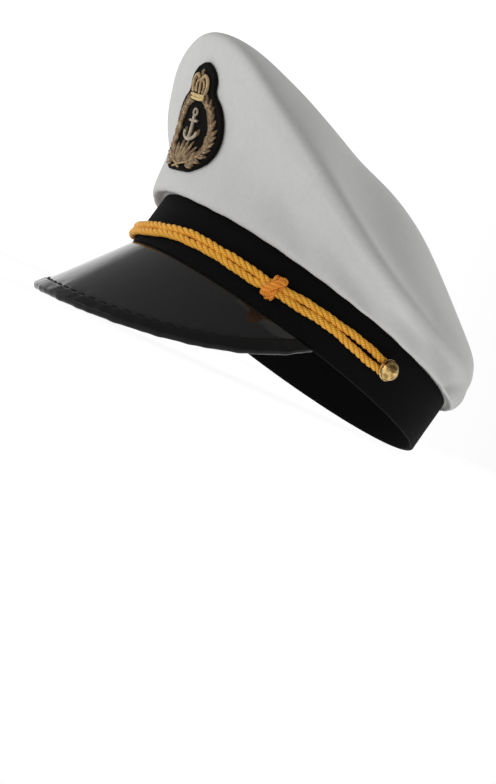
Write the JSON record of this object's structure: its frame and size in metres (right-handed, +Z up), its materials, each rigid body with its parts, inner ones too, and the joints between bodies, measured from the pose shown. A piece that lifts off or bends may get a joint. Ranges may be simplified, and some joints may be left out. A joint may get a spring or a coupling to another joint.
{
  "type": "captain-style sailor cap",
  "caption": "White-topped peaked cap with a black band, a sloping glossy peak, a double gold cord with knots and side buttons, and an embroidered badge.",
  "frame": {"origin": "on the surface that the cap rests on, below the middle of its overall box", "axes": "+Z up, the front of the cap toward -Y, the wearer's left toward +X"},
  "size_m": [0.2076, 0.2568, 0.1644],
  "materials": {
    "crown_cloth": "white cotton-blend cloth, fine plain weave, soft folds",
    "band_cloth": "matt black woven band",
    "patent": "glossy black patent sheet with a rolled, stitched edge",
    "gold_cord": "twisted amber-gold cord",
    "button_metal": "polished gold-coloured dome",
    "badge_felt": "black felt with a padded edge",
    "badge_thread": "bronze-gold metallic embroidery thread"
  },
  "bodies": {
    "root": {"band": "band_cloth", "crown": "crown_cloth", "peak": "patent", "peak_edging": "patent", "cord_upper": "gold_cord", "cord_lower": "gold_cord", "knot_left": "gold_cord", "knot_right": "gold_cord", "button_left": "button_metal", "button_right": "button_metal", "badge_backing": "badge_felt", "badge_wreath_left": "badge_thread", "badge_wreath_right": "badge_thread", "badge_anchor": "badge_thread", "badge_crown": "badge_thread"}
  },
  "joints": []
}
